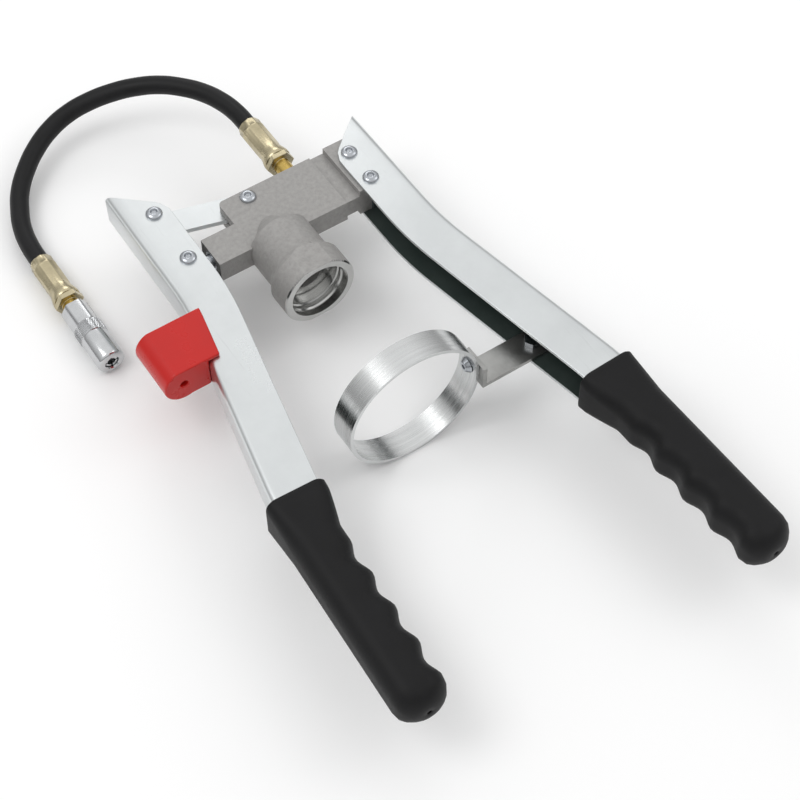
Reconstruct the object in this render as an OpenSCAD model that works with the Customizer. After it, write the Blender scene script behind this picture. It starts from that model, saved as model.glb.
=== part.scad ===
// Double-lever grease gun head for screw-in cartridges: cast pump head, two
// pressed channel levers with rubber grips, cartridge ring, hose and coupler.
// Frame: origin at the centre of the cartridge mouth, +Y towards the hose,
// +X along the pump bore, +Z square to the plane in which the levers move.

/* [Levers] */
// Length of a lever from its tip to the first bend
lever_head_len = 90; // [80:1:110]
// Length of the sloping middle of a lever
lever_mid_len = 134; // [111:0.2:165]
// Length of the lever end inside the grip
lever_tail_len = 120; // [100:1:150]
// Outward slope of the middle of a lever
lever_slope = 10.7; // [7:0.1:13]
// Outward slope of the grip end of a lever
tail_slope = 1.8; // [1:0.1:5]
// Angle by which the driven lever stands further open than the fixed one
drive_tilt = 0.7; // [0:0.1:2]
// Radius of the lever bends
bend_r = 180; // [120:10:240]
// Width of the channel section in plan
lever_w = 26; // [24:0.5:30]
// Height of the channel section over both flanges
lever_h = 23; // [21:0.1:27.6]
// Thickness of the pressed sheet
sheet_t = 2; // [1.5:0.1:2.5]
// Distance from the mouth's axis to the outside of the driven lever
drive_web_x = 68.6; // [67:0.2:74]
// Distance from the mouth's axis to the outside of the fixed lever
fixed_web_x = 79.6; // [77:0.2:86]
// Length of the driven lever past its far pivot
drive_tip_over = 26; // [21:0.5:32]
// Length of the fixed lever past the back of the casting
fixed_tip_over = 12; // [10:0.5:15]

/* [Grips] */
// Length of a grip
grip_len = 131; // [120:1:150]
// Width of a grip over its finger ridges, beyond the width of the lever
grip_over = 2; // [1.5:0.25:4]
// Thickness of the rubber over the lever's flanges
grip_wall = 2.5; // [2:0.1:4]
// Depth of the finger grooves
groove_depth = 3; // [1:0.25:3.5]
// Distance by which a grip sits outward of the lever's middle line
grip_shift = 2; // [0:0.25:3]
// Spacing of the finger grooves
groove_pitch = 21.2; // [19:0.1:23]

/* [Pump head] */
// Radius of the cartridge thread, measured at its crest
mouth_r = 17.5; // [14.5:0.1:21]
// Depth of the threaded mouth
mouth_depth = 13; // [10:0.5:16]
// Wall of the collar around the thread
collar_wall = 4.3; // [3.5:0.1:6]
// Length of the cylindrical part of the collar
collar_len = 15; // [13:0.5:18]
// Step from the collar down to the neck behind it
neck_step = 3; // [2:0.1:4]
// Depth of the flats on the collar
collar_flat = 1.8; // [0.5:0.1:2.5]
// Thickness of the flat body
body_t = 14; // [11.6:0.1:16.8]
// Front face of the body along Y
body_y0 = 39.5; // [37:0.5:41]
// Back face of the body along Y
body_y1 = 79; // [79:0.5:85]
// Width of the narrow lug that guides the piston
lug_w = 20.5; // [17:0.5:22]
// Left end of the lug
lug_x = 38; // [34:0.5:39]

/* [Pump] */
// Diameter of the piston
piston_d = 8; // [6.6:0.1:9.6]
// Height of the pump bore's axis along Y
piston_y = 50.8; // [50:0.2:52]
// Distance between the two pivots of the driven lever
lever_arm = 37.2; // [34:0.2:40]
// Distance from the mouth's axis to the piston's eye, at rest
piston_eye_x = 51.2; // [50:0.2:53]
// Radius of all rivet and pivot shanks
rivet_r = 2.75; // [2.3:0.05:3.3]
// Thickness of the link plate
link_t = 3; // [2.5:0.1:4]
// Width of the link plate
link_w = 15.5; // [14:0.1:17]
// Diameter of the check valve ball
ball_d = 6; // [5:0.25:6.5]
// Position of the outlet port along X
outlet_x = 30; // [28:0.5:32]

/* [Cartridge ring] */
// Outside radius of the cartridge ring
ring_r = 39.8; // [36:0.2:42]
// Thickness of the ring band
ring_t = 2; // [1.5:0.1:3]
// Width of the ring band
ring_w = 15.6; // [12:0.2:20]
// Distance of the ring's centre in front of the mouth
ring_y = 83.8; // [75:0.2:95]
// Thickness of the ring bracket
bracket_t = 2.5; // [2:0.1:3]
// Width of the ring bracket
bracket_w = 17; // [14:0.5:20]

/* [Hose and coupler] */
// Outside diameter of the hose
hose_d = 11; // [9.2:0.2:13.2]
// Inside diameter of the hose
hose_bore = 4; // [3:0.2:5]
// Wall of the crimped ferrules over the hose
ferrule_wall = 1.1; // [0.8:0.1:1.7]
// Length of a ferrule from its mouth to the hexagon
ferrule_len = 32.5; // [25:0.5:34]
// Radius of the fitting's threaded stem
stem_r = 4.85; // [4.5:0.05:5.2]
// Outside radius of the coupler
coupler_r = 8.1; // [7.5:0.1:8.6]
// Overall length of the coupler
coupler_len = 44; // [40:0.5:48]

/* [Hose holder] */
// Length of the holder along the lever
clip_len = 32; // [26:1:36]
// Wall of the holder around the coupler's socket
clip_wall = 3; // [2:0.25:4]

/* [Clearances] */
// Radial clearance of running fits
run_c = 0.05; // [0.02:0.01:0.1]
// Gap between pieces that pass each other
gap = 0.3; // [0.2:0.05:0.5]

/* [Hidden] */
$fn = 48;
eps = 0.01;

// Levers
half_h = lever_h / 2;
inner_h = half_h - sheet_t;
tip_cut_slope = 0.86;
tip_corner_r = 5;
tail_out = 1;
tail_in = 18;
tail_start = 14;
arc_steps = 8;
mouth_lead = 1;
grip_w = lever_w + grip_over;
grip_h = lever_h + 2 * grip_wall;
grip_low = -grip_w / 2 - grip_shift;
grip_high = grip_w / 2 - grip_shift;
mouth_flare = 5;
flare_start = 6;
flare_end = 26;
first_groove = 46;
grip_end_r = 11;
grip_edge_r = 8;

// Pivots, as [x, y]
piston_eye = [-piston_eye_x, piston_y];
link_far = piston_eye + [0, lever_arm];
link_near = [-0.7, 73.5];
link_vec = link_far - link_near;
link_len = norm(link_vec);
link_angle = atan2(link_vec[1], link_vec[0]);
open_pivot_play = 0.45;
open_pivot_low = -0.3;
open_pivot_high = 1.5;
rivet_head_r = rivet_r + 1.95;
rivet_head_h = 2.1;
rivet_dimple_r = 1.7;

drive_tip_y = link_far[1] + drive_tip_over;
fixed_tip_y = body_y1 + fixed_tip_over;

// Pump head
collar_r = mouth_r + collar_wall;
neck_r = collar_r - neck_step;
waist_x0 = 42.5;
block_x0 = 51.5;
block_x1 = 73;
waist_drop = 1.5;
block_half = inner_h - 0.1;
body_x0 = 17;
corner_r = 3;
ramp_y1 = body_y0 + 17;
ramp_r1 = 6.5;
neck_y0 = collar_len + 5.5;
slot_half = link_t / 2 + gap;
slot_depth_x = link_near[0] + link_w / 2 + 1.2;
inlet_r = 8;
inlet_y1 = 38;
feed_r = 2.6;
bore_r = piston_d / 2 + run_c;
seal_r = piston_d / 2 + 1.6;
seal_len = 4;
retainer_len = 2;
port_depth = 9.5;
outlet_r = 2;
seat_y = piston_y + bore_r + 4;
valve_r = ball_d / 2 + 0.6;
lug_y0 = piston_y - lug_w / 2;
lug_y1 = piston_y + lug_w / 2;
head_rivet_x = 61.4;
head_rivet_y = [44.5, 66.6];

// Piston
piston_tip_x = 21;
eye_r = rivet_r + 3.25;
eye_half = 4;

// Ring, bracket and screws
ring_screw_y = -ring_y;
bracket_y = -(ring_y + 3);
bracket_web_x = fixed_web_x + (fixed_tip_y - lever_head_len - bracket_y) * tan(lever_slope);
bracket_bolt_x = bracket_web_x - 18.9;
bracket_end_x = bracket_web_x - 10.2;
tab_top = 6;
m5_r = 2.5;
hex_af = 8;
bolt_head_h = 3.5;
nut_h = 4;
screw_head_r = 4.7;
screw_head_h = 2.6;

// Hose: round points, from the mouth of the first ferrule to the second
hose_route = [[30, 125, 0], [29.5, 138, 0], [27, 151, -0.5], [22, 164, -1.5], [14.5, 176, -3],
    [5.5, 186.5, -5], [-5.5, 195.5, -8], [-18, 202.5, -11.5], [-31.5, 207, -15], [-45.5, 208.5, -18.5],
    [-59.5, 206, -22], [-72, 200, -25], [-83.5, 191, -27.5], [-93, 180.5, -29.5], [-100, 168, -30.5],
    [-105, 155, -31], [-107.5, 141, -31], [-108, 127, -31]];
hose_sides = 12;
hex_flange_h = 3.5;
hex_flange_r = 8.7;
flare_len = 9;
ferrule_r = hose_d / 2 + ferrule_wall;
head_exit = hose_route[0];
end_exit = hose_route[len(hose_route) - 1];
head_hex_y = head_exit[1] - ferrule_len;
end_hex_y = end_exit[1] - ferrule_len;
coupler_y = end_hex_y - hex_flange_h - 4.5;
coupler_hex_len = 15;
coupler_hex_af = 14.6;
socket_depth = 9;
spigot_r = 6;
spigot_len = 7;
mouth_hole_r = 3.9;

// Hose holder
clip_y1 = drive_tip_y - 97;
clip_y0 = clip_y1 - clip_len;
clip_axis_z = 3.5;
clip_axis_x = -(drive_web_x + 23.5);
socket_r = coupler_r + gap;
clip_r = socket_r + clip_wall;
clip_top = half_h + 2.7;
clip_hook_reach = 6.5;
clip_floor = 4;
clip_hole_r = 2.2;

// Basic shapes along an axis
module along_x(x0, x1, r) {
    translate([x0, 0, 0]) rotate([0, 90, 0]) cylinder(h = x1 - x0, r = r);
}

module along_y(y0, y1, r) {
    translate([0, y1, 0]) rotate([90, 0, 0]) cylinder(h = y1 - y0, r = r);
}

module along_z(z0, z1, r) {
    translate([0, 0, z0]) cylinder(h = z1 - z0, r = r);
}

module block(low, high) {
    translate(low) cube(high - low);
}

module hexagon(af, h) {
    cylinder(h = h, r = af / sqrt(3), $fn = 6);
}

module tube_y(y0, y1, r_out, r_in) {
    difference() {
        along_y(y0, y1, r_out);
        along_y(y0 - 1, y1 + 1, r_in);
    }
}

// Directions along and across a lever that slopes outward by the angle a
function heading(a) = [-sin(a), -cos(a)];
function inward(a) = [cos(a), -sin(a)];
bend1_len = bend_r * tan(lever_slope / 2);
bend2_len = bend_r * tan((lever_slope - tail_slope) / 2);
corner2 = [0, -lever_head_len] + lever_mid_len * heading(lever_slope);
centre1 = [-bend_r, -(lever_head_len - bend1_len)];
centre2 = corner2 - bend2_len * heading(lever_slope) + bend_r * inward(lever_slope);
grip_mouth = corner2 - mouth_lead * heading(tail_slope) + lever_w / 2 * inward(tail_slope);

// Line that runs along a lever at distance d inward from the outside of its web
function lever_line(d) = concat(
    [[d, 0]],
    [for (i = [0:arc_steps]) centre1 + (bend_r + d) * inward(lever_slope * i / arc_steps)],
    [for (i = [0:arc_steps])
        let (a = lever_slope + (tail_slope - lever_slope) * i / arc_steps)
        centre2 - (bend_r - d) * inward(a)],
    [corner2 + lever_tail_len * heading(tail_slope) + d * inward(tail_slope)]);

function reversed(list) = [for (i = [len(list) - 1:-1:0]) list[i]];

module lever_strip(d0, d1) {
    polygon(concat(lever_line(d0), reversed(lever_line(d1))));
}

// Places children in the frame that runs down the grip from its mouth
module at_grip() {
    translate(grip_mouth) rotate(-tail_slope) children();
}

// Region above or below the place where a lever narrows inside its grip
module below_tail_start() {
    at_grip() translate([-60, -400]) square([120, 400 - tail_start]);
}

// Slanted end of a lever with a rounded inner corner
module tip_cut() {
    corner = [lever_w, -tip_cut_slope * lever_w];
    polygon([[-1, tip_cut_slope], [lever_w + 1, -tip_cut_slope * (lever_w + 1)], [lever_w + 1, 10], [-1, 10]]);
    difference() {
        translate(corner - [tip_corner_r, 2 * tip_corner_r]) square([tip_corner_r + 1, 3 * tip_corner_r]);
        translate([lever_w - tip_corner_r, corner[1] - tip_corner_r * 0.45]) circle(r = tip_corner_r);
        translate([0, corner[1] - 3 * tip_corner_r]) square([lever_w, 2.55 * tip_corner_r]);
        translate([0, corner[1] - 2 * tip_corner_r]) square([lever_w - tip_corner_r, 2 * tip_corner_r]);
    }
}

module lever_outline() {
    difference() {
        lever_strip(0, lever_w);
        below_tail_start();
        tip_cut();
    }
    intersection() {
        lever_strip(tail_out, tail_in);
        below_tail_start();
    }
}

// Channel section: open on its inner side
module lever_channel() {
    difference() {
        translate([0, 0, -half_h]) linear_extrude(lever_h) lever_outline();
        translate([0, 0, -inner_h]) linear_extrude(2 * inner_h) difference() {
            lever_strip(sheet_t, lever_w + 5);
            below_tail_start();
        }
        translate([0, 0, -inner_h]) linear_extrude(2 * inner_h) intersection() {
            lever_strip(tail_out + sheet_t, lever_w + 5);
            below_tail_start();
        }
    }
}

// Puts children made in lever coordinates on the left or the right side
module drive_side() {
    translate(piston_eye) rotate(-drive_tilt) translate(-piston_eye)
        translate([-drive_web_x, drive_tip_y, 0]) children();
}

module fixed_side() {
    translate([fixed_web_x, fixed_tip_y, 0]) mirror([1, 0, 0]) children();
}

// Shank holes through both flanges of a lever, at [x, y]
module flange_hole(place, r) {
    translate(place) along_z(-half_h - 1, half_h + 1, r);
}

module drive_lever() {
    color("gainsboro") difference() {
        drive_side() lever_channel();
        flange_hole(link_far, rivet_r);
        flange_hole(piston_eye, rivet_r);
    }
}

module fixed_lever() {
    color("gainsboro") difference() {
        fixed_side() lever_channel();
        for (y = head_rivet_y) flange_hole([head_rivet_x, y], rivet_r);
        translate([bracket_bolt_x, bracket_y]) along_z(-half_h - 1, 0, m5_r);
    }
}

// Plan of a grip: straight outer side, finger grooves on the inner side
module grip_outline() {
    groove_r = (pow(groove_pitch * 0.36, 2) + pow(groove_depth, 2)) / (2 * groove_depth);
    low = grip_low - 2;
    r = grip_end_r;
    difference() {
        polygon(concat(
            [[low, 0], [grip_high + mouth_flare, 0], [grip_high + mouth_flare, -flare_start],
                [grip_high, -flare_end]],
            [for (a = [0:10:90]) [grip_high - r + r * cos(a), -grip_len + r - r * sin(a)]],
            [for (a = [90:10:180]) [low + r + r * cos(a), -grip_len + r - r * sin(a)]]));
        for (i = [0:3])
            translate([grip_high - groove_depth + groove_r, -first_groove - i * groove_pitch])
                circle(r = groove_r);
    }
}

// Rounded section of a grip between two lateral limits, run from y0 to y1 along it
module grip_section(low, high, half, y0, y1) {
    r = grip_edge_r;
    corners = [[high - r, half - r], [low + r, half - r], [low + r, r - half], [high - r, r - half]];
    translate([0, y1, 0]) rotate([90, 0, 0]) linear_extrude(y1 - y0)
        polygon([for (i = [0:3], a = [0:15:90]) corners[i] + r * [cos(90 * i + a), sin(90 * i + a)]]);
}

module grip_shape() {
    difference() {
        at_grip() intersection() {
            translate([0, 0, -grip_h]) linear_extrude(2 * grip_h) grip_outline();
            union() {
                grip_section(grip_low, grip_high + 0.5, grip_h / 2, -grip_len - 1, 1);
                grip_section(grip_low - 0.4, grip_high + mouth_flare + 0.5, grip_h / 2 + 0.6,
                    -flare_end - 1, 2);
            }
        }
        translate([0, 0, -half_h]) linear_extrude(lever_h) lever_strip(tail_out, tail_in);
        translate([0, 0, -half_h]) linear_extrude(lever_h) difference() {
            lever_strip(0, lever_w);
            below_tail_start();
        }
        at_grip() translate([0, -grip_len, 0]) along_y(-1, 14, 1.2);
    }
}

module drive_grip() {
    color("dimgray") drive_side() grip_shape();
}

module fixed_grip() {
    color("dimgray") fixed_side() grip_shape();
}

// Casting, bored for the pump and threaded for the cartridge
module pump_head() {
    color("darkgray") difference() {
        head_solid();
        head_bores();
        head_slots();
    }
}

module head_solid() {
    half_t = body_t / 2;
    block([-body_x0, body_y0, -half_t], [waist_x0, body_y1 - corner_r, half_t]);
    block([-body_x0 + corner_r, body_y1 - 2 * corner_r, -half_t], [waist_x0, body_y1, half_t]);
    translate([-body_x0 + corner_r, body_y1 - corner_r]) along_z(-half_t, half_t, corner_r);
    block([-lug_x, lug_y0, -half_t], [-body_x0 + 1, lug_y1, half_t]);
    block([waist_x0 - 1, body_y0 + 1, -half_t + waist_drop], [block_x0 + 1, body_y1, half_t - waist_drop]);
    block([block_x0, body_y0 + 1, -block_half], [block_x1, body_y1, block_half]);
    along_y(neck_y0 - 1, body_y0 + 3, neck_r);
    rotate([-90, 0, 0]) rotate_extrude() polygon([[0, body_y0 - 1], [neck_r, body_y0 - 1],
        [neck_r, body_y0], [ramp_r1, ramp_y1], [0, ramp_y1]]);
    intersection() {
        rotate([-90, 0, 0]) rotate_extrude() polygon([[0, 0], [collar_r - 0.8, 0], [collar_r, 0.8],
            [collar_r, collar_len], [neck_r, neck_y0], [0, neck_y0]]);
        block([-collar_r - 1, -1, -collar_r + collar_flat], [collar_r + 1, neck_y0 + 1, collar_r - collar_flat]);
    }
}

module head_bores() {
    along_y(-1, mouth_depth, mouth_r);
    along_y(mouth_depth - 1, inlet_y1, inlet_r);
    along_y(inlet_y1 - 1, piston_y, feed_r);
    translate([0, piston_y, 0]) along_x(-lug_x - 1, outlet_x + 3, bore_r);
    translate([0, piston_y, 0]) along_x(-lug_x - 1, -lug_x + seal_len + retainer_len, seal_r);
    translate([outlet_x, 0, 0]) along_y(piston_y, seat_y + 1, outlet_r);
    translate([outlet_x, 0, 0]) along_y(seat_y, body_y1 - port_depth + 1, valve_r);
    translate([outlet_x, 0, 0]) along_y(body_y1 - port_depth, body_y1 + 1, stem_r);
    translate(link_near) along_z(-20, 20, rivet_r);
    for (y = head_rivet_y) translate([head_rivet_x, y]) along_z(-20, 20, rivet_r);
}

// Saw cut for the link plate, open to the left and to the back
module head_slots() {
    block([-body_x0 - 1, lug_y1 + eps, -slot_half], [slot_depth_x, body_y1 + 1, slot_half]);
}

module piston() {
    color("silver") difference() {
        union() {
            translate([0, piston_y, 0]) along_x(-piston_eye_x + 4, piston_tip_x, piston_d / 2);
            translate(piston_eye) along_z(-eye_half, eye_half, eye_r);
        }
        translate(piston_eye) along_z(-eye_half - 1, eye_half + 1, rivet_r + run_c);
    }
}

module piston_seal() {
    color("black") translate([-lug_x + retainer_len, piston_y, 0]) rotate([0, 90, 0]) difference() {
        cylinder(h = seal_len, r = seal_r);
        translate([0, 0, -1]) cylinder(h = seal_len + 2, r = bore_r);
    }
}

module seal_retainer() {
    color("silver") translate([-lug_x, piston_y, 0]) rotate([0, 90, 0]) difference() {
        cylinder(h = retainer_len, r = seal_r);
        translate([0, 0, -1]) cylinder(h = retainer_len + 2, r = bore_r + gap);
    }
}

// Flat link with round ends; its far eye is long so that the linkage can be opened there
module link_plate() {
    color("lightgray") translate(link_near) rotate(link_angle) difference() {
        union() {
            along_z(-link_t / 2, link_t / 2, link_w / 2);
            translate([link_len, 0]) along_z(-link_t / 2, link_t / 2, link_w / 2);
            block([0, -link_w / 2, -link_t / 2], [link_len, link_w / 2, link_t / 2]);
        }
        along_z(-link_t, link_t, rivet_r + run_c);
        for (side = [open_pivot_low, open_pivot_high])
            translate([link_len, side]) along_z(-link_t, link_t, rivet_r + open_pivot_play);
        block([link_len - rivet_r - open_pivot_play, open_pivot_low, -link_t],
            [link_len + rivet_r + open_pivot_play, open_pivot_high, link_t]);
    }
}

// Shank with a domed, dimpled head at each end
module rivet(half_grip) {
    along_z(-half_grip, half_grip, rivet_r);
    for (side = [0, 1]) mirror([0, 0, side]) translate([0, 0, half_grip]) rotate_extrude()
        polygon([[0, 0], [rivet_head_r, 0], [rivet_head_r, rivet_head_h * 0.35],
            [rivet_head_r * 0.72, rivet_head_h], [rivet_dimple_r, rivet_head_h],
            [rivet_dimple_r * 0.6, rivet_head_h * 0.45], [0, rivet_head_h * 0.45]]);
}

module link_pivot_rivet() {
    color("silver") translate(link_near) rivet(body_t / 2);
}

module link_rivet() {
    color("silver") translate(link_far) rivet(half_h);
}

module piston_rivet() {
    color("silver") translate(piston_eye) rivet(half_h);
}

module head_rivets() {
    color("silver") for (y = head_rivet_y) translate([head_rivet_x, y]) rivet(half_h);
}

// Pair of spacer bushes between a lever's flanges
module bushes(inner) {
    for (side = [0, 1]) mirror([0, 0, side]) difference() {
        along_z(inner, inner_h, rivet_r + 2);
        along_z(inner - 1, inner_h + 1, rivet_r);
    }
}

module link_bushes() {
    color("silver") translate(link_far) bushes(link_t / 2 + gap);
}

module piston_bushes() {
    color("silver") translate(piston_eye) bushes(eye_half + gap);
}

module retaining_ring() {
    color("lightgray") difference() {
        tube_y(-ring_y - ring_w / 2, -ring_y + ring_w / 2, ring_r, ring_r - ring_t);
        translate([0, ring_screw_y, 0]) along_x(ring_r - 6, ring_r + 2, m5_r);
    }
}

module ring_bracket() {
    plate_z = -inner_h;
    color("gray") difference() {
        union() {
            block([ring_r + eps, bracket_y - bracket_w / 2, plate_z],
                [ring_r + bracket_t, bracket_y + bracket_w / 2, tab_top]);
            block([ring_r + 1, bracket_y - bracket_w / 2, plate_z],
                [bracket_end_x, bracket_y + bracket_w / 2, plate_z + bracket_t]);
        }
        translate([0, ring_screw_y, 0]) along_x(ring_r - 1, ring_r + bracket_t + 1, m5_r);
        translate([bracket_bolt_x, bracket_y]) along_z(plate_z - 1, plate_z + bracket_t + 1, m5_r);
    }
}

module ring_screw() {
    seat_x = sqrt(pow(ring_r - ring_t, 2) - pow(screw_head_r, 2)) - eps;
    color("silver") translate([seat_x, ring_screw_y, 0]) rotate([0, 90, 0]) difference() {
        union() {
            cylinder(h = ring_r - seat_x + bracket_t + 0.5, r = m5_r);
            translate([0, 0, -screw_head_h])
                cylinder(h = screw_head_h, r1 = screw_head_r * 0.6, r2 = screw_head_r);
        }
        translate([0, 0, -screw_head_h - 1]) cylinder(h = 2.6, r = 1.5, $fn = 6);
    }
}

module bracket_bolt() {
    seat_z = -inner_h + bracket_t;
    color("silver") translate([bracket_bolt_x, bracket_y]) {
        translate([0, 0, seat_z]) hexagon(hex_af, bolt_head_h);
        along_z(-half_h - nut_h - 1, seat_z + eps, m5_r);
    }
}

module bracket_nut() {
    color("silver") translate([bracket_bolt_x, bracket_y]) difference() {
        translate([0, 0, -half_h - nut_h]) hexagon(hex_af, nut_h);
        along_z(-half_h - nut_h - 1, -half_h + 1, m5_r);
    }
}

module check_ball() {
    seat_drop = sqrt(pow(ball_d / 2, 2) - pow(outlet_r, 2));
    color("silver") translate([outlet_x, seat_y + seat_drop + 0.02, 0]) sphere(r = ball_d / 2);
}

// Coil spring drawn as a stack of rings joined by a rod
module spring_stack(y0, y1, r, wire, turns) {
    step = (y1 - y0 - wire) / (turns - 1);
    for (i = [0:turns - 1]) translate([0, y0 + wire / 2 + i * step, 0]) rotate([-90, 0, 0])
        rotate_extrude() translate([r, 0]) circle(d = wire, $fn = 16);
    translate([r, 0, 0]) along_y(y0 + wire / 2, y1 - wire / 2, wire * 0.3);
}

module check_spring() {
    wire = 0.7;
    ball_top = seat_y + sqrt(pow(ball_d / 2, 2) - pow(outlet_r, 2)) + ball_d / 2;
    color("silver") translate([outlet_x, 0, 0])
        spring_stack(ball_top + 0.05, body_y1 - port_depth, valve_r - 1.6, wire, 4);
}

// Fitting: threaded stem, hexagon and barb; y0 is the hexagon's face away from the hose
module fitting(y0, stem) {
    difference() {
        union() {
            along_y(y0 - stem, y0 + eps, stem_r);
            translate([0, y0 + hex_flange_h, 0]) rotate([90, 0, 0]) hexagon(hex_flange_r * sqrt(3), hex_flange_h);
        }
        along_y(y0 - stem - 1, y0 + hex_flange_h + 1, hose_bore / 2);
    }
}

// Crimped shell: flare next to the hexagon, then a straight part up to the hose
module ferrule(y0, y1) {
    rotate([-90, 0, 0]) rotate_extrude() polygon([[hose_bore / 2, y0], [hex_flange_r - 0.7, y0],
        [ferrule_r, y0 + flare_len], [ferrule_r, y1 - 0.8], [ferrule_r - 0.8, y1], [hose_bore / 2, y1]]);
}

module hose_fitting_head() {
    color("khaki") translate([head_exit[0], 0, head_exit[2]])
        fitting(head_hex_y - hex_flange_h, head_hex_y - hex_flange_h - body_y1 + port_depth);
}

module hose_ferrule_head() {
    color("khaki") translate([head_exit[0], 0, head_exit[2]]) ferrule(head_hex_y, head_exit[1]);
}

module hose_ferrule_end() {
    color("khaki") translate([end_exit[0], 0, end_exit[2]]) ferrule(end_hex_y, end_exit[1]);
}

module hose_fitting_end() {
    stem = end_hex_y - hex_flange_h - coupler_y + socket_depth;
    color("khaki") translate([end_exit[0], 0, end_exit[2]]) fitting(end_hex_y - hex_flange_h, stem);
}

// Tube swept along the route: directions, level frames and rings
function unit(v) = v / norm(v);
function route_dir(i) = unit(hose_route[min(i + 1, len(hose_route) - 1)] - hose_route[max(i - 1, 0)]);
function end_dir(i) = i == 0 ? [0, 1, 0] : i == len(hose_route) - 1 ? [0, -1, 0] : route_dir(i);
function side_dir(d) = unit(cross([0, 0, 1], d));
function ring_points(i, r) = let (d = end_dir(i), s = side_dir(d), t = cross(d, s))
    [for (a = [0:360 / hose_sides:359]) hose_route[i] + r * (cos(a) * s + sin(a) * t)];

module hose() {
    n = hose_sides;
    rings = len(hose_route);
    pts = [for (i = [0:rings - 1]) each ring_points(i, hose_d / 2)];
    faces = concat(
        [[for (k = [0:n - 1]) k]],
        [for (i = [0:rings - 2], k = [0:n - 1])
            [i * n + k, (i + 1) * n + k, (i + 1) * n + (k + 1) % n, i * n + (k + 1) % n]],
        [[for (k = [n - 1:-1:0]) (rings - 1) * n + k]]);
    color("dimgray") polyhedron(points = pts, faces = faces, convexity = 6);
}

// Places children so that +Y down from 0 runs from the coupler's hexagon to its mouth
module at_coupler() {
    translate([end_exit[0], coupler_y, end_exit[2]]) children();
}

module coupler_body() {
    color("silver") at_coupler() difference() {
        union() {
            intersection() {
                rotate([90, 0, 0]) hexagon(coupler_hex_af, coupler_hex_len);
                along_y(-coupler_hex_len, 0, coupler_r);
            }
            along_y(-coupler_hex_len - spigot_len, -coupler_hex_len + 1, spigot_r);
        }
        along_y(-socket_depth, 1, stem_r);
        along_y(-coupler_hex_len - spigot_len - 1, 1, hose_bore / 2);
    }
}

module coupler_sleeve() {
    wall_end = -coupler_len;
    color("silver") at_coupler() difference() {
        along_y(wall_end, -coupler_hex_len, coupler_r);
        along_y(wall_end + 7, -coupler_hex_len + 1, spigot_r);
        rotate([90, 0, 0]) translate([0, 0, coupler_len - 7 - eps])
            cylinder(h = 5 + 2 * eps, r1 = spigot_r, r2 = mouth_hole_r);
        along_y(wall_end - 1, wall_end + 3, mouth_hole_r);
    }
}

// Four jaws of the coupler, cut from one collet
module coupler_jaws() {
    slit = 0.8;
    color("dimgray") at_coupler() difference() {
        rotate([90, 0, 0]) rotate_extrude() polygon([[1.9, coupler_len - 12], [spigot_r - 0.4, coupler_len - 12],
            [spigot_r - 0.4, coupler_len - 7.5], [mouth_hole_r - 0.3, coupler_len - 2.2],
            [mouth_hole_r - 0.3, coupler_len - 1.2], [2.4, coupler_len - 1.2], [3, coupler_len - 4],
            [3, coupler_len - 9], [1.9, coupler_len - 9]]);
        for (a = [0, 90]) rotate([0, a, 0])
            block([-10, -coupler_len, -slit / 2], [10, -coupler_len + 9.5, slit / 2]);
    }
}

module coupler_seal() {
    color("black") at_coupler() tube_y(-coupler_len + 12 + eps, -coupler_len + 15, spigot_r - 0.4, 1.2);
}

module coupler_spring() {
    color("silver") at_coupler()
        spring_stack(-coupler_len + 15 + 0.05, -coupler_hex_len - spigot_len - 0.05, spigot_r - 1.2, 0.8, 4);
}

// Section of the hose holder across the lever: round nose, flat top and hook
module clip_profile() {
    web_side = -drive_web_x + 3;
    low = clip_axis_z - clip_r + 0.6;
    intersection() {
        union() {
            translate([clip_axis_x, clip_axis_z]) circle(r = clip_r);
            translate([clip_axis_x, low]) square([web_side - clip_axis_x, clip_top - low]);
            translate([clip_axis_x, half_h - 1]) square([web_side + 9 - clip_axis_x, clip_top - half_h + 1]);
        }
        translate([-200, -50]) square([400, 50 + clip_top]);
    }
}

// Holder that parks the coupler: socket open towards +Y, hooked over the lever
module hose_clip() {
    color("red") difference() {
        intersection() {
            translate([0, clip_y1, 0]) rotate([90, 0, 0]) linear_extrude(clip_len) clip_profile();
            drive_side() translate([0, 0, -50]) linear_extrude(100) lever_strip(-50, clip_hook_reach);
        }
        translate([clip_axis_x, 0, clip_axis_z]) along_y(clip_y0 + clip_floor, clip_y1 + 1, socket_r);
        translate([clip_axis_x, 0, clip_axis_z]) along_y(clip_y0 - 1, clip_y1, clip_hole_r);
        drive_side() translate([0, 0, -50]) linear_extrude(50 + half_h + 0.05) lever_strip(0, lever_w);
    }
}

pump_head();
piston();
piston_seal();
seal_retainer();
link_plate();
link_pivot_rivet();
drive_lever();
fixed_lever();
drive_grip();
fixed_grip();
link_rivet();
piston_rivet();
link_bushes();
piston_bushes();
head_rivets();
hose_clip();
retaining_ring();
ring_bracket();
ring_screw();
bracket_bolt();
bracket_nut();
check_ball();
check_spring();
hose_fitting_head();
hose_ferrule_head();
hose();
hose_ferrule_end();
hose_fitting_end();
coupler_body();
coupler_sleeve();
coupler_jaws();
coupler_seal();
coupler_spring();
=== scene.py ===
"""Looks of a double-lever grease gun head: materials, detailed pieces, stage and camera."""

import math

import bmesh
import bpy
from mathutils import Matrix, Vector


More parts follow.
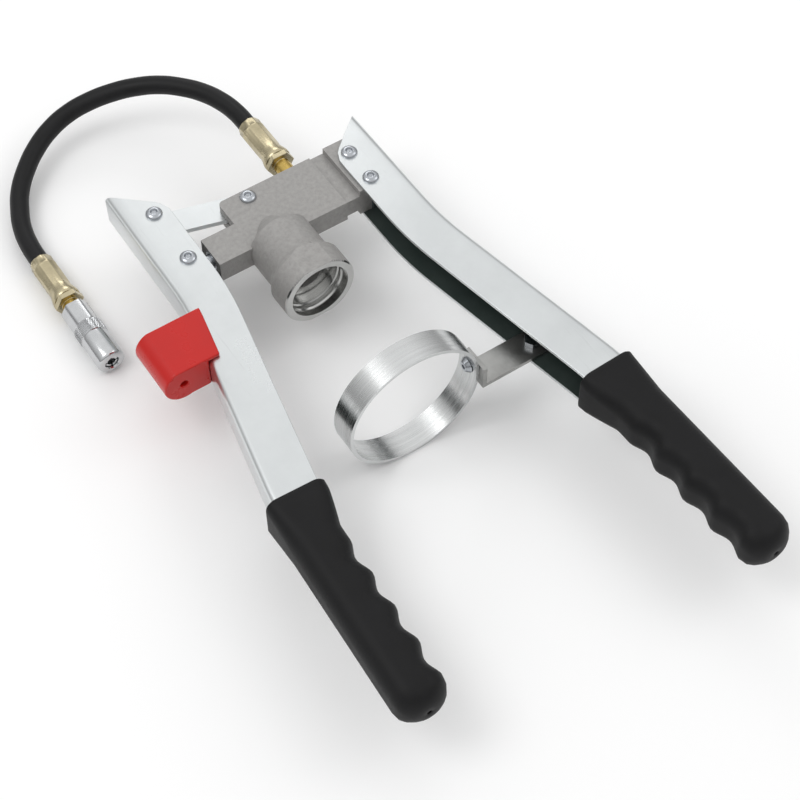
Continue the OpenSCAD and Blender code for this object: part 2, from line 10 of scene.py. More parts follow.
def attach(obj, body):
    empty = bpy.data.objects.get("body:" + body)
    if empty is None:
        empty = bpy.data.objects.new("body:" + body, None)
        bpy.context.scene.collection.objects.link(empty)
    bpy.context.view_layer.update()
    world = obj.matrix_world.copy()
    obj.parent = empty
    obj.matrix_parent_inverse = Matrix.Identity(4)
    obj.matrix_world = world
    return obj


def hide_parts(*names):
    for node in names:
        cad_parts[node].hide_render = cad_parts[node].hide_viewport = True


bl_info = {
    "name": "Grease Gun Look",
    "version": (1, 0, 0),
    "blender": (4, 5, 0),
    "location": "View3D > Sidebar > Grease Gun",
    "description": "Builds the finished pieces and materials of a double-lever grease gun",
    "category": "Object",
}

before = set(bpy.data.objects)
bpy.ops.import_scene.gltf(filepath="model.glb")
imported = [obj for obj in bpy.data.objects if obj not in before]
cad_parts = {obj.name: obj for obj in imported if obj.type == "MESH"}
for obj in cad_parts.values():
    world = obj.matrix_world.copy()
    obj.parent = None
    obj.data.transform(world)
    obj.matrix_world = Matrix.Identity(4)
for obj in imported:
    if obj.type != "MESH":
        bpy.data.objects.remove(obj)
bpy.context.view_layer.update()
MM = 0.001

# Lever sizes in millimetres, as in the CAD model
HEAD_LEN, MID_LEN, TAIL_LEN = 90.0, 134.0, 120.0
SLOPE, TAIL_SLOPE, TILT = math.radians(10.7), math.radians(1.8), math.radians(0.7)
BEND_R, LEVER_W, LEVER_H, SHEET_T = 180.0, 26.0, 23.0, 2.0
DRIVE_TIP, FIXED_TIP = (-68.6, 114.0), (79.6, 91.0)
PISTON_EYE, LINK_FAR, LINK_NEAR = (-51.2, 50.8), (-51.2, 88.0), (-0.7, 73.5)
HEAD_RIVETS = ((61.4, 44.5), (61.4, 66.6))
TIP_CUT = 0.86
# Rounding of the sheet's edges, in metres
SHEET_EDGE = 0.00035
GRIP_LEN, GRIP_LOW, GRIP_HIGH, GRIP_HALF = 131.0, -16.0, 12.0, 14.0
HOSE_PORT, COUPLER_AXIS = (30, 0, 0), (-108, 0, -31)
HOSE_ROUTE = (
    (30, 125, 0), (29.5, 138, 0), (27, 151, -0.5), (22, 164, -1.5), (14.5, 176, -3),
    (5.5, 186.5, -5), (-5.5, 195.5, -8), (-18, 202.5, -11.5), (-31.5, 207, -15),
    (-45.5, 208.5, -18.5), (-59.5, 206, -22), (-72, 200, -25), (-83.5, 191, -27.5),
    (-93, 180.5, -29.5), (-100, 168, -30.5), (-105, 155, -31), (-107.5, 141, -31),
    (-108, 127, -31),
)


class GreaseGunLook(bpy.types.PropertyGroup):
    """Colours and small sizes of the finished pieces"""

    casting: bpy.props.FloatVectorProperty(
        name="Casting", description="Colour of the cast pump head",
        default=(0.37, 0.362, 0.352), subtype="COLOR", min=0, max=1)
    zinc: bpy.props.FloatVectorProperty(
        name="Zinc sheet", description="Colour of the plated levers",
        default=(0.70, 0.725, 0.73), subtype="COLOR", min=0, max=1)
    plastic: bpy.props.FloatVectorProperty(
        name="Holder", description="Colour of the plastic hose holder",
        default=(0.52, 0.010, 0.007), subtype="COLOR", min=0, max=1)
    passivated: bpy.props.FloatVectorProperty(
        name="Fittings", description="Colour of the yellow-passivated hose fittings",
        default=(0.58, 0.51, 0.34), subtype="COLOR", min=0, max=1)
    bend_radius: bpy.props.FloatProperty(
        name="Sheet bend", description="Outside radius of the pressed bends",
        default=0.0038, unit="LENGTH", min=0.0025, max=0.006)
    groove_depth: bpy.props.FloatProperty(
        name="Finger grooves", description="Depth of the grooves in the grips",
        default=0.0032, unit="LENGTH", min=0.001, max=0.004)
    cast_edge: bpy.props.FloatProperty(
        name="Cast edges", description="Rounding of the edges of the casting",
        default=0.0009, unit="LENGTH", min=0.0002, max=0.002)
    thread_pitch: bpy.props.FloatProperty(
        name="Thread pitch", description="Pitch of the cartridge thread",
        default=0.004, unit="LENGTH", min=0.002, max=0.006)
    knurl_count: bpy.props.IntProperty(
        name="Knurl count", description="Points around the coupler's knurled band",
        default=52, min=24, max=80)


def look():
    return bpy.context.scene.grease_gun_look


# Materials

def surface_group():
    """Two-tone colour, roughness spread and fine relief, shared by every finish."""
    tree = bpy.data.node_groups.get("surface_finish")
    if tree:
        return tree
    tree = bpy.data.node_groups.new("surface_finish", "ShaderNodeTree")
    for name, kind, value in (
            ("Vector", "NodeSocketVector", None), ("Color", "NodeSocketColor", (0.5, 0.5, 0.5, 1)),
            ("Second Color", "NodeSocketColor", (0.4, 0.4, 0.4, 1)), ("Patch Scale", "NodeSocketFloat", 60.0),
            ("Grain Scale", "NodeSocketFloat", 1500.0), ("Tone Amount", "NodeSocketFloat", 0.5),
            ("Rough Low", "NodeSocketFloat", 0.3), ("Rough High", "NodeSocketFloat", 0.5),
            ("Scratch Amount", "NodeSocketFloat", 0.0)):
        item = tree.interface.new_socket(name, in_out="INPUT", socket_type=kind)
        if value is not None:
            item.default_value = value
    for name, kind in (("Color", "NodeSocketColor"), ("Roughness", "NodeSocketFloat"),
                       ("Height", "NodeSocketFloat")):
        tree.interface.new_socket(name, in_out="OUTPUT", socket_type=kind)
    nodes, link = tree.nodes, tree.links.new
    into, out = nodes.new("NodeGroupInput"), nodes.new("NodeGroupOutput")
    patch, grain = nodes.new("ShaderNodeTexNoise"), nodes.new("ShaderNodeTexNoise")
    patch.inputs["Detail"].default_value = 6.0
    patch.inputs["Roughness"].default_value = 0.6
    grain.inputs["Detail"].default_value = 3.0
    scratch = nodes.new("ShaderNodeTexNoise")
    scratch.inputs["Scale"].default_value = 34.0
    scratch.inputs["Detail"].default_value = 9.0
    scratch.inputs["Roughness"].default_value = 0.75
    turn = nodes.new("ShaderNodeMapping")
    turn.inputs["Scale"].default_value = (16.0, 0.7, 16.0)
    turn.inputs["Rotation"].default_value = (0.0, 0.0, 0.12)
    fine = nodes.new("ShaderNodeMapRange")
    fine.inputs["From Min"].default_value = 0.6
    fine.inputs["From Max"].default_value = 0.72
    weight = nodes.new("ShaderNodeMath")
    weight.operation = "MULTIPLY"
    tone = nodes.new("ShaderNodeMapRange")
    tone.inputs["From Min"].default_value = 0.35
    tone.inputs["From Max"].default_value = 0.68
    amount = nodes.new("ShaderNodeMath")
    amount.operation = "MULTIPLY"
    both = nodes.new("ShaderNodeMath")
    both.operation = "ADD"
    both.use_clamp = True
    mix = nodes.new("ShaderNodeMix")
    mix.data_type = "RGBA"
    rough = nodes.new("ShaderNodeMapRange")
    height = nodes.new("ShaderNodeMath")
    height.operation = "SUBTRACT"
    link(into.outputs["Vector"], patch.inputs["Vector"])
    link(into.outputs["Vector"], grain.inputs["Vector"])
    link(into.outputs["Vector"], turn.inputs["Vector"])
    link(turn.outputs["Vector"], scratch.inputs["Vector"])
    link(into.outputs["Patch Scale"], patch.inputs["Scale"])
    link(into.outputs["Grain Scale"], grain.inputs["Scale"])
    link(patch.outputs["Fac"], tone.inputs["Value"])
    link(tone.outputs["Result"], amount.inputs[0])
    link(into.outputs["Tone Amount"], amount.inputs[1])
    link(scratch.outputs["Fac"], fine.inputs["Value"])
    link(fine.outputs["Result"], weight.inputs[0])
    link(into.outputs["Scratch Amount"], weight.inputs[1])
    link(amount.outputs[0], both.inputs[0])
    link(weight.outputs[0], both.inputs[1])
    link(both.outputs[0], mix.inputs["Factor"])
    link(into.outputs["Color"], mix.inputs["A"])
    link(into.outputs["Second Color"], mix.inputs["B"])
    link(both.outputs[0], rough.inputs["Value"])
    link(into.outputs["Rough Low"], rough.inputs["To Min"])
    link(into.outputs["Rough High"], rough.inputs["To Max"])
    link(grain.outputs["Fac"], height.inputs[0])
    link(weight.outputs[0], height.inputs[1])
    link(mix.outputs["Result"], out.inputs["Color"])
    link(rough.outputs["Result"], out.inputs["Roughness"])
    link(height.outputs[0], out.inputs["Height"])
    return tree


def finish_of(name, color, second, metallic, rough, patch=60.0, grain=1500.0, tone=0.5,
              scratch=0.0, bump=0.1, depth=0.0001, stretch=(1, 1, 1), specular=0.5):
    """A material whose colour, roughness and relief come from the shared surface group."""
    mat = bpy.data.materials.new(name)
    mat.use_nodes = True
    nodes, link = mat.node_tree.nodes, mat.node_tree.links.new
    shader = nodes["Principled BSDF"]
    coords, mapping = nodes.new("ShaderNodeTexCoord"), nodes.new("ShaderNodeMapping")
    mapping.inputs["Scale"].default_value = stretch
    group = nodes.new("ShaderNodeGroup")
    group.node_tree = surface_group()
    for key, value in (("Color", (*color, 1)), ("Second Color", (*second, 1)), ("Patch Scale", patch),
                       ("Grain Scale", grain), ("Tone Amount", tone), ("Rough Low", rough[0]),
                       ("Rough High", rough[1]), ("Scratch Amount", scratch)):
        group.inputs[key].default_value = value
    relief = nodes.new("ShaderNodeBump")
    relief.inputs["Strength"].default_value = bump
    relief.inputs["Distance"].default_value = depth
    shader.inputs["Metallic"].default_value = metallic
    shader.inputs["Specular IOR Level"].default_value = specular
    link(coords.outputs["Object"], mapping.inputs["Vector"])
    link(mapping.outputs["Vector"], group.inputs["Vector"])
    link(group.outputs["Color"], shader.inputs["Base Color"])
    link(group.outputs["Roughness"], shader.inputs["Roughness"])
    link(group.outputs["Height"], relief.inputs["Height"])
    link(relief.outputs["Normal"], shader.inputs["Normal"])
    return mat


def shade(color, factor):
    return tuple(min(1.0, c * factor) for c in color)


FINISHES = {}


def material(slot):
    """The finish for one of the record's material slots, made once."""
    if slot not in FINISHES:
        FINISHES[slot] = make_material(slot)
    return FINISHES[slot]


def make_material(slot):
    props = look()
    cast, zinc, brass = tuple(props.casting), tuple(props.zinc), tuple(props.passivated)
    recipes = {
        "casting": dict(color=cast, second=shade(cast, 0.78), metallic=0.4, rough=(0.6, 0.75),
                        patch=420, grain=1500, tone=0.6, bump=0.7, depth=0.0003, specular=0.35),
        # Painted shade: the dark grey-green of the channels' inner faces stands in for the shade inside the
        # lever channel
        "channel_painted_shade": dict(color=(0.045, 0.062, 0.057), second=(0.075, 0.095, 0.088), metallic=0.3,
                               rough=(0.35, 0.5), patch=60, grain=1200, tone=0.5, scratch=0.3, bump=0.15),
        "machined": dict(color=(0.55, 0.55, 0.54), second=(0.34, 0.34, 0.33), metallic=1.0,
                         rough=(0.18, 0.34), patch=50, grain=400, tone=0.5, bump=0.12,
                         stretch=(1, 9, 1)),
        "steel": dict(color=(0.48, 0.50, 0.53), second=(0.30, 0.32, 0.34), metallic=1.0,
                      rough=(0.2, 0.38), patch=160, grain=1800, tone=0.5, bump=0.15),
        "seal_rubber": dict(color=(0.02, 0.02, 0.02), second=(0.035, 0.035, 0.035), metallic=0.0,
                            rough=(0.5, 0.65), grain=2600, bump=0.3),
        "zinc_sheet": dict(color=zinc, second=shade(zinc, 0.76), metallic=1.0, rough=(0.27, 0.44),
                           patch=24, grain=950, tone=0.42, scratch=0.5, bump=0.12),
        "grip_rubber": dict(color=(0.006, 0.006, 0.0065), second=(0.012, 0.012, 0.013), metallic=0.0,
                            rough=(0.5, 0.66), specular=0.2, patch=45, grain=2100, tone=0.5, bump=0.45,
                            depth=0.00018),
        "red_plastic": dict(color=tuple(props.plastic), second=shade(props.plastic, 0.78), metallic=0.0,
                            rough=(0.26, 0.38), patch=40, grain=900, tone=0.35, bump=0.1, specular=0.4),
        "ring_steel": dict(color=(0.66, 0.67, 0.67), second=(0.46, 0.47, 0.47), metallic=1.0,
                           rough=(0.22, 0.38), patch=2.2, grain=3.0, tone=0.5, bump=0.12,
                           stretch=(6, 420, 6)),
        "bracket_steel": dict(color=(0.42, 0.42, 0.41), second=(0.27, 0.27, 0.26), metallic=1.0,
                              rough=(0.32, 0.5), patch=70, grain=1300, tone=0.6, scratch=0.3, bump=0.2),
        "yellow_zinc": dict(color=brass, second=shade(brass, 0.62), metallic=1.0, rough=(0.24, 0.42),
                            patch=110, grain=1500, tone=0.6, bump=0.15),
        "brass": dict(color=(0.60, 0.43, 0.13), second=(0.40, 0.27, 0.07), metallic=1.0,
                      rough=(0.2, 0.36), patch=160, grain=1500, tone=0.5, bump=0.12),
        "hose_rubber": dict(color=(0.006, 0.006, 0.0065), second=(0.013, 0.013, 0.014), metallic=0.0,
                            rough=(0.44, 0.6), specular=0.22, patch=60, grain=2400, tone=0.6, bump=0.4,
                            depth=0.00015),
        "bright_plate": dict(color=(0.60, 0.61, 0.62), second=(0.42, 0.43, 0.44), metallic=1.0,
                             rough=(0.14, 0.26), patch=120, grain=1500, tone=0.4, bump=0.06),
        "dark_steel": dict(color=(0.12, 0.12, 0.12), second=(0.06, 0.06, 0.06), metallic=0.9,
                           rough=(0.3, 0.5), patch=160, grain=1500, tone=0.5, bump=0.15),
    }
    return finish_of(slot + "_finish", **recipes[slot])


NODE_FINISH = {
    "piston": "steel", "piston_seal": "seal_rubber", "seal_retainer": "steel", "link_plate": "zinc_sheet",
    "link_bushes": "steel", "piston_bushes": "steel", "check_ball": "bright_plate", "check_spring": "steel",
    "coupler_jaws": "bright_plate", "coupler_seal": "seal_rubber", "coupler_spring": "steel",
}


# Mesh helpers

def new_piece(name, verts, faces, slot, body, nodes=(), bevel=0.0, segments=2, smooth=40, inside=None):
    """Makes a closed mesh, rounds its edges, gives it a finish and fits it to its body."""
    mesh = bpy.data.meshes.new(name)
    mesh.from_pydata([tuple(v) for v in verts], [], faces)
    # The faces listed in inside get the dark finish that paints the shade inside the channel
    if inside:
        mesh.materials.append(material(slot))
        mesh.materials.append(material("channel_painted_shade"))
        for polygon in mesh.polygons:
            polygon.material_index = int(polygon.index in inside)
    build = bmesh.new()
    build.from_mesh(mesh)
    bmesh.ops.remove_doubles(build, verts=build.verts, dist=1e-6)
    bmesh.ops.recalc_face_normals(build, faces=build.faces)
    build.to_mesh(mesh)
    build.free()
    obj = bpy.data.objects.new(name, mesh)
    bpy.context.scene.collection.objects.link(obj)
    return dress(obj, slot, body, nodes, bevel, segments, smooth)


def dress(obj, slot, body, nodes=(), bevel=0.0, segments=2, smooth=40, paint=None):
    for polygon in obj.data.polygons:
        polygon.use_smooth = True
    obj.data.set_sharp_from_angle(angle=math.radians(smooth))
    if bevel:
        mod = obj.modifiers.new("edges", "BEVEL")
        mod.width, mod.segments, mod.limit_method = bevel, segments, "ANGLE"
        mod.angle_limit = math.radians(32)
        mod.harden_normals = True
        bake(obj)
    if not obj.data.materials:
        obj.data.materials.append(material(slot))
    if paint:
        paint(obj)
    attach(obj, body)
    if nodes:
        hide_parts(*nodes)
    return obj


def bake(obj):
    """Turns the evaluated modifiers of a piece into its plain mesh."""
    bpy.context.view_layer.update()
    graph = bpy.context.evaluated_depsgraph_get()
    mesh = bpy.data.meshes.new_from_object(obj.evaluated_get(graph))
    obj.modifiers.clear()
    obj.data = mesh


def soften(node, name, slot, body, width, segments=2, smooth=35, paint=None):
    """Copies a CAD node's shape, merges its triangles and rounds its edges."""
    build = bmesh.new()
    build.from_mesh(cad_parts[node].data)
    bmesh.ops.remove_doubles(build, verts=build.verts, dist=2e-6)
    bmesh.ops.dissolve_limit(build, angle_limit=math.radians(1.0), verts=build.verts, edges=build.edges)
    mesh = bpy.data.meshes.new(name)
    for face in build.faces:
        face.material_index = 0
    build.to_mesh(mesh)
    build.free()
    obj = bpy.data.objects.new(name, mesh)
    bpy.context.scene.collection.objects.link(obj)
    return dress(obj, slot, body, (node,), width, segments, smooth, paint)


def second_material(slot, wanted):
    """A paint step that gives a second finish to the faces a test picks by centre and normal."""
    def paint(obj):
        obj.data.materials.append(material(slot))
        for polygon in obj.data.polygons:
            if wanted(polygon.center / MM, polygon.normal):
                polygon.material_index = 1
    return paint


def lathe(profile, place, axis="Y", steps=64, ripple=None):
    """Turns (along, radius) pairs about an axis through place; ripple changes the radius by angle."""
    verts, faces = [], []
    for along, radius in profile:
        for k in range(steps):
            a = 2 * math.pi * k / steps
            r = radius if ripple is None else ripple(along, radius, a)
            c, s = r * math.cos(a), r * math.sin(a)
            p = {"Y": (c, along, s), "Z": (c, s, along), "X": (along, c, s)}[axis]
            verts.append((Vector(place) + Vector(p)) * MM)
    n = len(profile)
    for i in range(n - 1):
        for k in range(steps):
            j = (k + 1) % steps
            faces.append((i * steps + k, i * steps + j, (i + 1) * steps + j, (i + 1) * steps + k))
    if profile[0][1] > 0.001 and profile[0] != profile[-1]:
        faces.append(tuple(range(steps)))
        faces.append(tuple((n - 1) * steps + k for k in range(steps)))
    return verts, faces


def merged(parts):
    verts, faces = [], []
    for part_verts, part_faces in parts:
        shift = len(verts)
        verts += part_verts
        faces += [tuple(i + shift for i in face) for face in part_faces]
    return verts, faces


# Lever lines, in millimetres

def heading(a):
    return Vector((-math.sin(a), -math.cos(a)))


def inward(a):
    return Vector((math.cos(a), -math.sin(a)))


BEND1 = BEND_R * math.tan(SLOPE / 2)
BEND2 = BEND_R * math.tan((SLOPE - TAIL_SLOPE) / 2)
CORNER2 = Vector((0, -HEAD_LEN)) + MID_LEN * heading(SLOPE)
CENTRE1 = Vector((-BEND_R, -(HEAD_LEN - BEND1)))
CENTRE2 = CORNER2 - BEND2 * heading(SLOPE) + BEND_R * inward(SLOPE)
GRIP_MOUTH = CORNER2 - heading(TAIL_SLOPE) + LEVER_W / 2 * inward(TAIL_SLOPE)


def drive_side(p):
    """Lever coordinates to the frame, for the driven lever."""
    x, y = DRIVE_TIP[0] + p[0] - PISTON_EYE[0], DRIVE_TIP[1] + p[1] - PISTON_EYE[1]
    c, s = math.cos(-TILT), math.sin(-TILT)
    return Vector((PISTON_EYE[0] + c * x - s * y, PISTON_EYE[1] + s * x + c * y, p[2])) * MM


def fixed_side(p):
    return Vector((FIXED_TIP[0] - p[0], FIXED_TIP[1] + p[1], p[2])) * MM


def lever_stations():
    """(point on the web, inward direction, widest depth) along a lever."""
    lines = [(Vector((0, -y)), inward(0)) for y in (0, 32, 48, 60)]
    steps = 10
    for i in range(steps + 1):
        a = SLOPE * i / steps
        lines.append((CENTRE1 + BEND_R * inward(a), inward(a)))
    start, end = lines[-1][0], CORNER2 - BEND2 * heading(SLOPE)
    lines += [(start.lerp(end, t), inward(SLOPE)) for t in (0.25, 0.5, 0.75)]
    for i in range(2 * steps + 1):
        a = SLOPE + (TAIL_SLOPE - SLOPE) * i / (2 * steps)
        lines.append((CENTRE2 - BEND_R * inward(a), inward(a)))
    lines.append((CORNER2 + TAIL_LEN * heading(TAIL_SLOPE), inward(TAIL_SLOPE)))
    stations = []
    for point, across in lines:
        in_grip = (point - GRIP_MOUTH).dot(heading(TAIL_SLOPE))
        stations.append((point, across, LEVER_W - min(8.0, max(0.0, (in_grip - 4) * 1.1))))
    return stations


def channel_paths(radius):
    """Outer and inner outlines of the channel as (depth, height) pairs of equal number."""
    half, steps = LEVER_H / 2, 6
    inner_r = max(radius - SHEET_T, 0.6)
    depths = (LEVER_W, LEVER_W - 2.5, LEVER_W - 5, 16, 9)
    outer = [(d, half) for d in depths]
    inner = [(d, half - SHEET_T) for d in depths]
    for side in (1, -1):
        angles = [math.pi / 2 * i / steps for i in range(steps + 1)]
        if side < 0:
            angles.reverse()
        for a in angles:
            outer.append((radius - radius * math.sin(a), side * (half - radius + radius * math.cos(a))))
            inner.append((SHEET_T + inner_r - inner_r * math.sin(a),
                          side * (half - SHEET_T - inner_r + inner_r * math.cos(a))))
    outer += [(d, -half) for d in reversed(depths)]
    inner += [(d, SHEET_T - half) for d in reversed(depths)]
    return outer, inner


def lever_mesh(place):
    outer, inner = channel_paths(look().bend_radius / MM)
    loop = outer + inner[::-1]
    n, m = len(loop), len(outer)
    verts, faces, inside = [], [], set()
    stations = lever_stations()
    for i, (point, across, widest) in enumerate(stations):
        for d, z in loop:
            d = min(d, widest)
            flat = point + d * across
            if i == 0:
                over = max(0.0, d - (LEVER_W - 5))
                flat = flat + Vector((0, -TIP_CUT * d - (5 - math.sqrt(max(0.0, 25 - over * over))) * 0.9))
            verts.append(place((flat.x, flat.y, z)))
    for i in range(len(stations) - 1):
        for k in range(n):
            j = (k + 1) % n
            # Faces of the inner outline take the painted shade finish of the channel's inside
            if m <= k < n - 1:
                inside.add(len(faces))
            faces.append((i * n + k, i * n + j, (i + 1) * n + j, (i + 1) * n + k))
    for base in (0, (len(stations) - 1) * n):
        for k in range(m - 1):
            faces.append((base + k, base + k + 1, base + n - 2 - k, base + n - 1 - k))
    return verts, faces, inside


# Grips

def rounded_loop(low, high, half, radius, count=12):
    """Rounded rectangle as (x, z) pairs, with count points to a corner."""
    r = max(0.05, min(radius, (high - low) / 2, half))
    points = []
    for cx, cz, start in ((high - r, half - r, 0), (low + r, half - r, 90),
                          (low + r, r - half, 180), (high - r, r - half, 270)):
        for i in range(count):
            a = math.radians(start + 90 * i / (count - 1))
            points.append((cx + r * math.cos(a), cz + r * math.sin(a)))
    return points


def finger_side(s, depth):
    high = GRIP_HIGH + 5 * (1 - min(1.0, max(0.0, (s - 5) / 20)) ** 1.15)
    first, pitch = 46.0, 21.2
    if first - pitch / 2 < s < first + 3.5 * pitch:
        wave = 0.5 + 0.5 * math.cos(2 * math.pi * (s - first) / pitch)
        high -= depth * wave ** 0.8
    return high


def grip_mesh(place):
    depth = look().groove_depth / MM
    count = 12
    rings = []
    for s, inset in ((11, None), (0.8, None), (0.0, 1.4), (0.35, 0.5), (1.2, 0.0)):
        if inset is None:
            rings.append((s, rounded_loop(-13.2, 13.2, 11.7, 3.6, count)))
        else:
            rings.append((s, rounded_loop(GRIP_LOW - 0.4 + inset, finger_side(0, depth) - inset,
                                          GRIP_HALF + 0.6 - inset, 6.0, count)))
    stations = [3, 5.5] + [8 + 2.1 * i for i in range(54)]
    for s in stations:
        puff = 0.5 * max(0.0, 1 - s / 26)
        t = max(0.0, (s - (GRIP_LEN - 11)) / 11)
        inset = 11 * (1 - math.sqrt(max(0.0, 1 - t * t)))
        rings.append((s, rounded_loop(GRIP_LOW - puff + inset, finger_side(s, depth) - inset,
                                      GRIP_HALF + puff - inset, 6 + min(4.5, s / 6), count)))
    for t in (0.35, 0.6, 0.8, 0.92, 0.985):
        inset = 11 * (1 - math.sqrt(1 - t * t))
        rings.append((GRIP_LEN - 11 + 11 * t, rounded_loop(GRIP_LOW + inset, GRIP_HIGH - inset,
                                                           GRIP_HALF - inset, 10.5, count)))
    middle = (GRIP_LOW + GRIP_HIGH) / 2
    for s, r in ((GRIP_LEN, 2.0), (GRIP_LEN - 0.4, 1.3), (GRIP_LEN - 8, 1.2)):
        rings.append((s, rounded_loop(middle - r, middle + r, r, r, count)))
    verts, faces = [], []
    n = 4 * count
    for s, loop in rings:
        for x, z in loop:
            flat = GRIP_MOUTH + x * inward(TAIL_SLOPE) + s * heading(TAIL_SLOPE)
            verts.append(place((flat.x, flat.y, z)))
    for i in range(len(rings) - 1):
        for k in range(n):
            j = (k + 1) % n
            faces.append((i * n + k, i * n + j, (i + 1) * n + j, (i + 1) * n + k))
    faces.append(tuple(range(n)))
    faces.append(tuple((len(rings) - 1) * n + k for k in range(n)))
    return verts, faces


# Rivets, ferrules and other turned parts

def rivet_mesh(centre, half):
    """A shank with a domed, dimpled head at each end."""
    head = [(0, 4.6), (0.35, 4.7), (0.9, 4.55), (1.5, 4.0), (1.9, 3.2), (2.1, 2.5), (2.05, 2.05),
            (1.7, 1.75), (1.05, 1.5), (0.8, 0.9), (0.95, 0.4), (1.0, 0.02)]
    profile = [(-half - h, r) for h, r in reversed(head)] + [(half + h, r) for h, r in head]
    return lathe(profile, (*centre, 0), "Z", 40)


def crimp(radius, angle):
    """Eight crimped lands with narrow ridges between them."""
    return radius + 0.5 * abs(math.sin(4 * angle)) ** 5 - 0.16


def ferrule_mesh(place, base, mouth):
    """A flared ferrule from its base to the mouth that the hose leaves."""
    body = [(base, 2.0), (base, 7.9), (base + 0.6, 8.15), (base + 2.2, 8.1), (base + 4.2, 7.6),
            (base + 6.2, 7.05), (base + 8.2, 6.7)]
    lands = [(base + 9.4, 6.6), (mouth - 7.2, 6.6)]
    bead = [(mouth - 6.6, 6.95), (mouth - 5.6, 6.95), (mouth - 5.0, 6.55), (mouth - 1.2, 6.6),
            (mouth - 0.3, 6.35), (mouth, 5.9), (mouth, 2.0)]

    def ripple(along, radius, angle):
        inside = base + 8.6 < along < mouth - 6.9 or mouth - 5.1 < along < mouth - 1.0
        return crimp(radius, angle) if inside else radius

    return lathe(body + lands + bead, place, "Y", 96, ripple)


# Repeated detail made with geometry nodes

def start_tree(name, inputs):
    tree = bpy.data.node_groups.new(name, "GeometryNodeTree")
    for label, kind in inputs:
        tree.interface.new_socket(label, in_out="INPUT", socket_type=kind)
    tree.interface.new_socket("Geometry", in_out="OUTPUT", socket_type="NodeSocketGeometry")
    return tree, tree.nodes.new("NodeGroupInput"), tree.nodes.new("NodeGroupOutput")


def end_tree(tree, geometry, out):
    real, paint = tree.nodes.new("GeometryNodeRealizeInstances"), tree.nodes.new("GeometryNodeSetMaterial")
    tree.links.new(geometry, real.inputs["Geometry"])
    tree.links.new(real.outputs["Geometry"], paint.inputs["Geometry"])
    source = next(n for n in tree.nodes if n.bl_idname == "NodeGroupInput")
    tree.links.new(source.outputs["Material"], paint.inputs["Material"])
    tree.links.new(paint.outputs["Geometry"], out.inputs["Geometry"])


def thread_tree():
    """A triangular ridge wound along a spiral."""
    tree, into, out = start_tree("thread_ridge", (
        ("Turns", "NodeSocketFloat"), ("Radius", "NodeSocketFloat"), ("Length", "NodeSocketFloat"),
        ("Ridge", "NodeSocketFloat"), ("Material", "NodeSocketMaterial")))
    link = tree.links.new
    spiral = tree.nodes.new("GeometryNodeCurveSpiral")
    spiral.inputs["Resolution"].default_value = 48
    profile = tree.nodes.new("GeometryNodeCurvePrimitiveCircle")
    profile.inputs["Resolution"].default_value = 6
    sweep = tree.nodes.new("GeometryNodeCurveToMesh")
    sweep.inputs["Fill Caps"].default_value = True
    link(into.outputs["Turns"], spiral.inputs["Rotations"])
    link(into.outputs["Radius"], spiral.inputs["Start Radius"])
    link(into.outputs["Radius"], spiral.inputs["End Radius"])
    link(into.outputs["Length"], spiral.inputs["Height"])
    link(into.outputs["Ridge"], profile.inputs["Radius"])
    link(spiral.outputs["Curve"], sweep.inputs["Curve"])
    link(profile.outputs["Curve"], sweep.inputs["Profile Curve"])
    end_tree(tree, sweep.outputs["Mesh"], out)
    return tree


def knurl_tree():
    """Rows of small pyramids around a cylinder."""
    tree, into, out = start_tree("knurl_points", (
        ("Count", "NodeSocketInt"), ("Rows", "NodeSocketInt"), ("Radius", "NodeSocketFloat"),
        ("Row Step", "NodeSocketFloat"), ("Point Size", "NodeSocketFloat"),
        ("Material", "NodeSocketMaterial")))
    link = tree.links.new
    row = tree.nodes.new("GeometryNodeMeshCircle")
    rows = tree.nodes.new("GeometryNodeMeshLine")
    step = tree.nodes.new("ShaderNodeCombineXYZ")
    place = tree.nodes.new("GeometryNodeInstanceOnPoints")
    index = tree.nodes.new("GeometryNodeInputIndex")
    half_step = tree.nodes.new("ShaderNodeMath")
    half_step.operation = "DIVIDE"
    half_step.inputs[0].default_value = math.pi
    odd = tree.nodes.new("ShaderNodeMath")
    odd.operation = "MULTIPLY"
    turn = tree.nodes.new("ShaderNodeCombineXYZ")
    real = tree.nodes.new("GeometryNodeRealizeInstances")
    point = tree.nodes.new("GeometryNodeMeshCone")
    point.inputs["Vertices"].default_value = 4
    where = tree.nodes.new("GeometryNodeInputPosition")
    flat = tree.nodes.new("ShaderNodeVectorMath")
    flat.operation = "MULTIPLY"
    flat.inputs[1].default_value = (1.0, 1.0, 0.0)
    align = tree.nodes.new("FunctionNodeAlignRotationToVector")
    align.axis = "Z"
    spread = tree.nodes.new("GeometryNodeInstanceOnPoints")
    link(into.outputs["Count"], row.inputs["Vertices"])
    link(into.outputs["Radius"], row.inputs["Radius"])
    link(into.outputs["Rows"], rows.inputs["Count"])
    link(into.outputs["Row Step"], step.inputs["Z"])
    link(step.outputs["Vector"], rows.inputs["Offset"])
    link(into.outputs["Count"], half_step.inputs[1])
    link(index.outputs["Index"], odd.inputs[0])
    link(half_step.outputs[0], odd.inputs[1])
    link(odd.outputs[0], turn.inputs["Z"])
    link(rows.outputs["Mesh"], place.inputs["Points"])
    link(row.outputs["Mesh"], place.inputs["Instance"])
    link(turn.outputs["Vector"], place.inputs["Rotation"])
    link(place.outputs["Instances"], real.inputs["Geometry"])
    link(into.outputs["Point Size"], point.inputs["Radius Bottom"])
    link(into.outputs["Point Size"], point.inputs["Depth"])
    link(where.outputs["Position"], flat.inputs[0])
    link(flat.outputs["Vector"], align.inputs["Vector"])
    link(real.outputs["Geometry"], spread.inputs["Points"])
    link(point.outputs["Mesh"], spread.inputs["Instance"])
    link(align.outputs["Rotation"], spread.inputs["Rotation"])
    end_tree(tree, spread.outputs["Instances"], out)
    return tree


